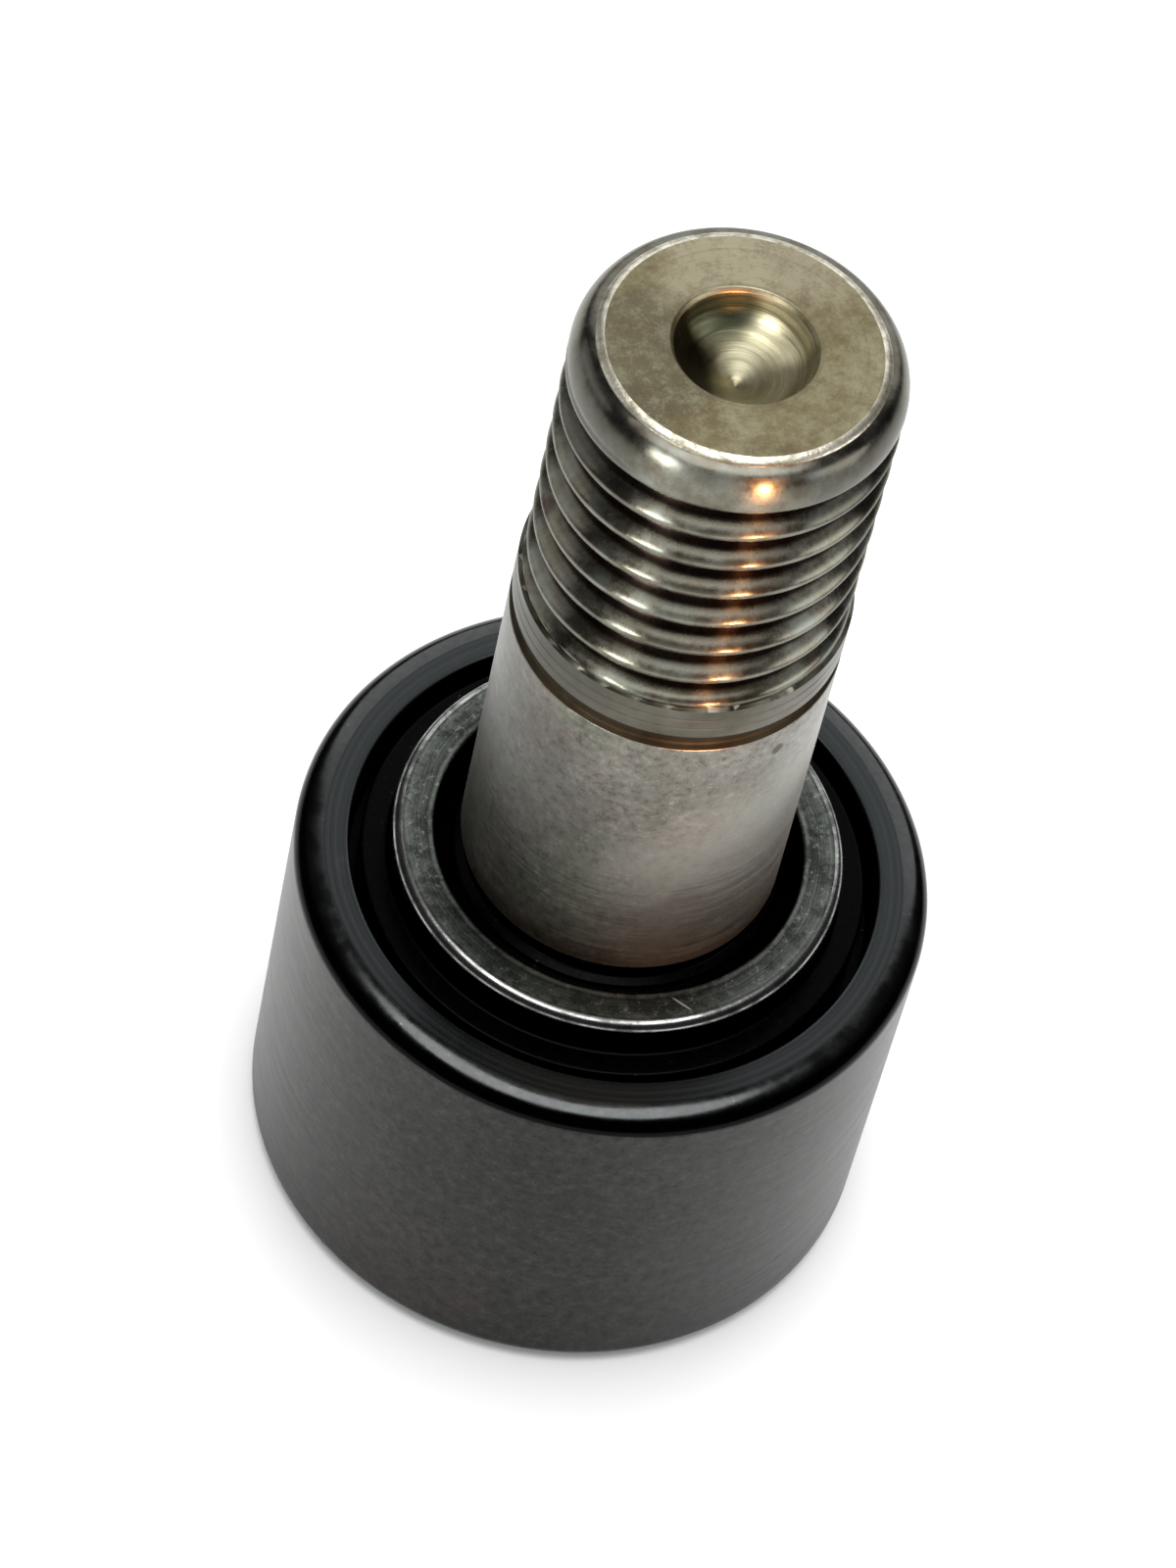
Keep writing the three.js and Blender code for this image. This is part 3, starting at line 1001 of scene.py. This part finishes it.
slot_bar = bmesh.new()
bmesh.ops.create_cube(slot_bar, size=1)
bmesh.ops.scale(slot_bar, vec=(3 * FLANGE_RADIUS, SLOT_WIDTH, 2 * SLOT_DEPTH), verts=slot_bar.verts)
cross_pin = bmesh.new()
bmesh.ops.create_cone(
    cross_pin, cap_ends=True, segments=CROSS_HOLE_STEPS, depth=INNER_RACE + 1,
    radius1=CROSS_HOLE_RADIUS, radius2=CROSS_HOLE_RADIUS,
    matrix=Matrix.Translation(((INNER_RACE + 1) / 2, 0, (RACE_LOW + RACE_HIGH) / 2))
    @ Matrix.Rotation(TURN / 4, 4, "Y"),
)
stud_mesh = cut(stud_mesh, [slot_bar, cross_pin])
open_edges = [edge for edge in stud_mesh.edges if not edge.is_manifold]
print("stud faces:", len(stud_mesh.faces), "open edges:", len(open_edges))


def stud_finish(radius, height):
    if height > STUD_TOP - RIM_DROP and radius > CENTRE_RADIUS + 0.2:
        return "face" if height > STUD_TOP - 0.001 else "rim"
    if height > STUD_TOP - CENTRE_DEPTH - 1 and radius < CENTRE_RADIUS + 0.14:
        return "face" if height > STUD_TOP - 0.11 else "hole"
    if height > LAND_TOP + 0.02:
        return "thread"
    if height > GROOVE_HIGH - 0.02:
        return "land"
    if height > GROOVE_LOW + 0.01:
        return "groove"
    if height > PLATE_TOP:
        return "shank"
    if height > PLATE_BOTTOM:
        return "recess"
    return "race" if radius > OIL_HOLE_RADIUS and height > HEAD_TOP - 0.01 else "recess"


stud_finishes = {
    "shank": shank_steel, "thread": thread_steel, "groove": groove_steel, "land": land_steel,
    "face": face_steel, "hole": hole_steel, "rim": rim_steel, "recess": recess_black_painted_shade,
    "race": raceway_steel,
}
paint(stud_mesh, stud_finishes, stud_finish)
stud = finish_piece(stud_mesh, "threaded_stud", "stud", "stud", stud_finishes)

# %% [markdown]
# ## The needle rollers
#
# Twenty needles fill the space between the races, with no cage, and the last gap is far too small
# for another. They are hidden, but each is a real piece that rolls, so each is made: a spun profile
# with rounded ends, set where its CAD node stands. Their ends are slightly crowned so that an edge
# never digs into the race.

# %% Needle rollers
NEEDLE_STEPS = 24


def needle_piece(node):
    low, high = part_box(node)
    middle = (low + high) / 2 / MM
    needle = bmesh.new()
    draw_profile(needle, [
        (0, NEEDLE_TOP),
        (NEEDLE_RADIUS, NEEDLE_TOP, 0.14),
        (NEEDLE_RADIUS, NEEDLE_BOTTOM, 0.14),
        (0, NEEDLE_BOTTOM),
    ])
    spin(needle, NEEDLE_STEPS)
    close_up(needle)
    bmesh.ops.translate(needle, vec=(middle.x, middle.y, 0), verts=needle.verts)
    return finish_piece(
        needle, node.replace("roller", "pin"), node, node, {"race": raceway_steel},
    )


needle_nodes = sorted(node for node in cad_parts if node.startswith("needle_roller"))
needles = [needle_piece(node) for node in needle_nodes]
print("needles:", len(needles))

# %% [markdown]
# ## The room
#
# The follower stands on plain white paper. A small part of polished and blackened steel shows mostly
# what it reflects, so the room is built from what the metal should see: the bright paper below, a
# soft light overhead, which draws the pale line round the roller's corner, and a panel behind, which
# the flat faces show at a slant. Everything else a reflection can find is dark, and keeps the black
# parts deep. The walls are pale for all other rays.
#
# Five more lamps light the stud alone: a soft panel on each side and one in front, a small white lamp
# to the left, and a very small warm lamp to the right, which puts a spark on each crest of the thread.

# %% Floor and lights
FLOOR_SIZE = 6.0
floor_mesh = bmesh.new()
bmesh.ops.create_grid(floor_mesh, x_segments=1, y_segments=1, size=FLOOR_SIZE / 2)
floor_data = bpy.data.meshes.new("paper_floor")
floor_mesh.to_mesh(floor_data)
floor_mesh.free()
floor = bpy.data.objects.new("paper_floor", floor_data)
bpy.context.collection.objects.link(floor)
paper = Finish("white_paper", 0.9, 0.0)
paper.shader.inputs["Specular IOR Level"].default_value = 0.1
fibres = paper.noise(0.02, 2.0)
paper.colour(paper.ramp(fibres, (0.0, (0.90, 0.90, 0.89)), (1.0, (0.93, 0.93, 0.92))))
floor_data.materials.append(paper.material)


def soft_light(name, bearing, elevation, distance, width, power, colour=(1, 1, 1), height=None):
    """A round or oval light that faces the follower from a bearing and an elevation, in degrees."""
    light = bpy.data.lights.new(name, "AREA")
    light.shape = "ELLIPSE"
    light.size = width
    light.size_y = height or width
    light.energy = power
    light.color = colour
    lamp = bpy.data.objects.new(name, light)
    turn, rise = math.radians(bearing), math.radians(elevation)
    away = Vector((
        math.cos(turn) * math.cos(rise), math.sin(turn) * math.cos(rise), math.sin(rise),
    ))
    target = Vector((0, 0, 0.5 * STUD_TOP * MM))
    facing = away.to_track_quat("Z", "Y").to_matrix().to_4x4()
    lamp.matrix_world = Matrix.Translation(target + away * distance) @ facing
    bpy.context.collection.objects.link(lamp)
    return lamp


soft_light("overhead_softbox", -111, 90, 0.60, 0.50, 2.8)
soft_light("back_panel", 70, 31, 0.70, 0.90, 2.1, height=0.61)
side_lamps = [
    soft_light("left_panel", 150, 28, 0.70, 0.50, 0.6),
    soft_light("right_panel", -30, 25, 0.70, 0.45, 1.6),
    soft_light("front_panel", -110, 15, 0.70, 0.60, 0.6),
    soft_light("left_lamp", -141, 26, 0.55, 0.15, 1.7, (1.0, 0.99, 0.95)),
    soft_light("warm_lamp", -80.6, 7, 0.50, 0.012, 3.2, (1.0, 0.45, 0.20), 0.12),
]
stud_only = bpy.data.collections.new("lit_by_side_lamps")
stud_only.objects.link(stud)
for lamp in side_lamps:
    lamp.light_linking.receiver_collection = stud_only

PALE_WALL = (0.92, 0.93, 0.94, 1)
DARK_ROOM = (0.035, 0.035, 0.038, 1)
WALL_GLOW = 0.90
world = bpy.data.worlds.new("pale_room")
world.use_nodes = True
sky = world.node_tree
pale = sky.nodes["Background"]
pale.inputs["Color"].default_value = PALE_WALL
pale.inputs["Strength"].default_value = WALL_GLOW
dark = sky.nodes.new("ShaderNodeBackground")
dark.inputs["Color"].default_value = DARK_ROOM
rays = sky.nodes.new("ShaderNodeLightPath")
choice = sky.nodes.new("ShaderNodeMixShader")
sky.links.new(rays.outputs["Is Glossy Ray"], choice.inputs["Fac"])
sky.links.new(pale.outputs["Background"], choice.inputs[1])
sky.links.new(dark.outputs["Background"], choice.inputs[2])
sky.links.new(choice.outputs["Shader"], sky.nodes["World Output"].inputs["Surface"])
bpy.context.scene.world = world
bpy.context.scene.view_settings.view_transform = "Standard"
